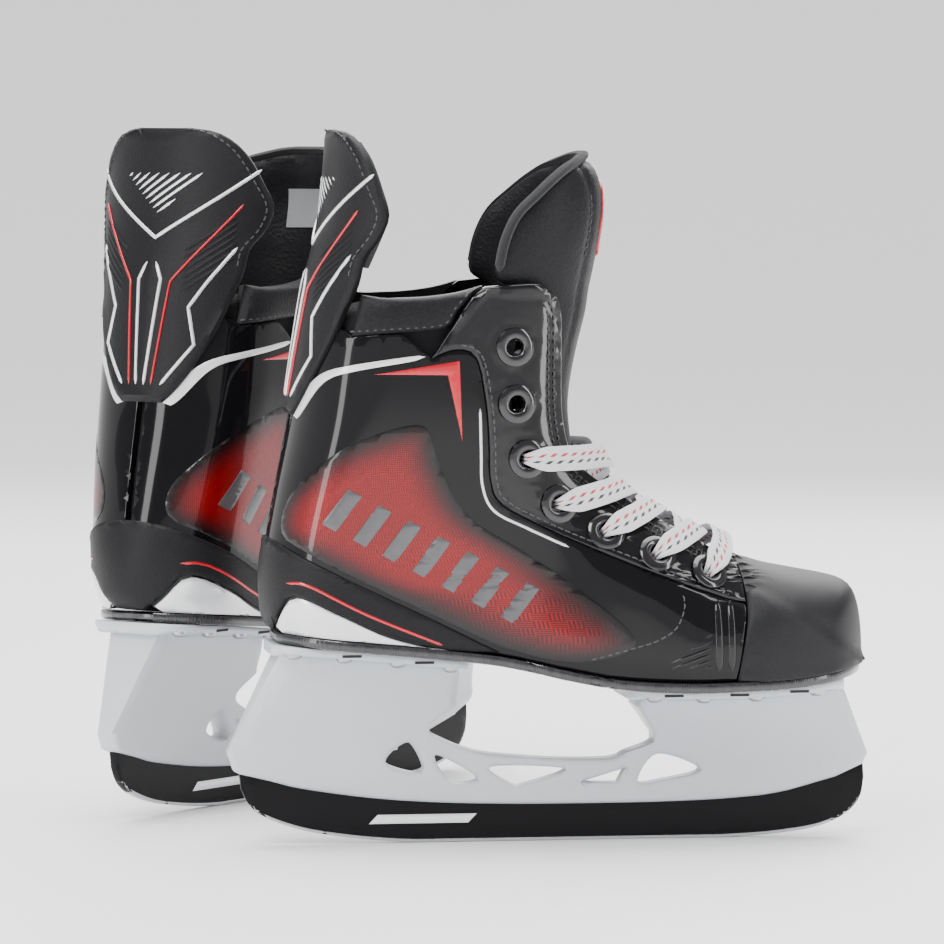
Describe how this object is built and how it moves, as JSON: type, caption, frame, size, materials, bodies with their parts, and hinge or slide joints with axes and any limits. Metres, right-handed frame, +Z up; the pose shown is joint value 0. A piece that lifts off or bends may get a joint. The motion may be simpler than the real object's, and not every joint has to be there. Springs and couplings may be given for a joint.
{
  "type": "hockey skates",
  "caption": "Ice hockey skates with stiff shell boots, flexing tendon guards and tongues, flat laces, and steel runners in plastic holders.",
  "frame": {"origin": "centre of the pair's bounding box, on the ice", "axes": "+Z up, +X from the right skate's heel to its toe, +Y from the right skate towards the left one"},
  "size_m": [0.2588, 0.2746, 0.242],
  "materials": {
    "runner_black": "black coated steel",
    "holder_white": "moulded, semi-gloss",
    "bolt_steel": "turned",
    "sole_black": "gloss composite",
    "felt": "felted",
    "overlay_black": "moulded, matte",
    "lining": "brushed microfibre",
    "tongue_black": "fine grain",
    "shell_gloss": "high gloss",
    "eyestay_black": "satin",
    "support_silver": "silvered gloss",
    "eyelet_black": "gloss black",
    "lace_white": "flat woven"
  },
  "bodies": {
    "right_skate": {"right_blade": "runner_black", "right_holder": "holder_white", "right_rear_blade_bolt": "bolt_steel", "right_front_blade_bolt": "bolt_steel", "right_outsole": "sole_black", "right_insole": "felt", "right_heel_counter": "overlay_black", "right_toe_cap": "overlay_black", "right_liner": "lining", "right_tongue": "tongue_black", "right_tendon_guard_base": "overlay_black", "right_lace": "lace_white", "right_lateral_quarter": "shell_gloss", "right_lateral_eyestay": "eyestay_black", "right_lateral_collar_pad": "tongue_black", "right_lateral_heel_support": "support_silver", "right_lateral_eyelet_row": "eyelet_black", "right_medial_quarter": "shell_gloss", "right_medial_eyestay": "eyestay_black", "right_medial_collar_pad": "tongue_black", "right_medial_heel_support": "support_silver", "right_medial_eyelet_row": "eyelet_black"},
    "right_tongue_flap": {"right_tongue_top": "tongue_black"},
    "right_tendon_guard_assembly": {"right_tendon_guard": "overlay_black", "right_tendon_pad": "felt"},
    "left_skate": {"left_blade": "runner_black", "left_holder": "holder_white", "left_rear_blade_bolt": "bolt_steel", "left_front_blade_bolt": "bolt_steel", "left_outsole": "sole_black", "left_insole": "felt", "left_heel_counter": "overlay_black", "left_toe_cap": "overlay_black", "left_liner": "lining", "left_tongue": "tongue_black", "left_tendon_guard_base": "overlay_black", "left_lace": "lace_white", "left_lateral_quarter": "shell_gloss", "left_lateral_eyestay": "eyestay_black", "left_lateral_collar_pad": "tongue_black", "left_lateral_heel_support": "support_silver", "left_lateral_eyelet_row": "eyelet_black", "left_medial_quarter": "shell_gloss", "left_medial_eyestay": "eyestay_black", "left_medial_collar_pad": "tongue_black", "left_medial_heel_support": "support_silver", "left_medial_eyelet_row": "eyelet_black"},
    "left_tongue_flap": {"left_tongue_top": "tongue_black"},
    "left_tendon_guard_assembly": {"left_tendon_guard": "overlay_black", "left_tendon_pad": "felt"}
  },
  "joints": [
    {"name": "right_tongue_flex", "type": "hinge", "parent": "right_skate", "child": "right_tongue_flap", "pos_m": [0.03407, -0.10016, 0.191], "axis": [0, 1, 0], "range_deg": [-4, 60], "stiffness_Nm_per_rad": 0.3},
    {"name": "right_tendon_guard_flex", "type": "hinge", "parent": "right_skate", "child": "right_tendon_guard_assembly", "pos_m": [-0.06343, -0.10016, 0.1864], "axis": [0, -1, 0], "range_deg": [-3, 30], "stiffness_Nm_per_rad": 1.5},
    {"name": "left_tongue_flex", "type": "hinge", "parent": "left_skate", "child": "left_tongue_flap", "pos_m": [-0.04151, 0.0619, 0.191], "axis": [-0.7349, 0.6782, 0], "range_deg": [-4, 60], "stiffness_Nm_per_rad": 0.3},
    {"name": "left_tendon_guard_flex", "type": "hinge", "parent": "left_skate", "child": "left_tendon_guard_assembly", "pos_m": [-0.10763, -0.00976, 0.1864], "axis": [0.7349, -0.6782, 0], "range_deg": [-3, 30], "stiffness_Nm_per_rad": 1.5},
    {"name": "left_skate_apart", "type": "slide", "parent": "right_skate", "child": "left_skate", "axis": [0, 1, 0], "range_m": [0, 0.15]}
  ]
}
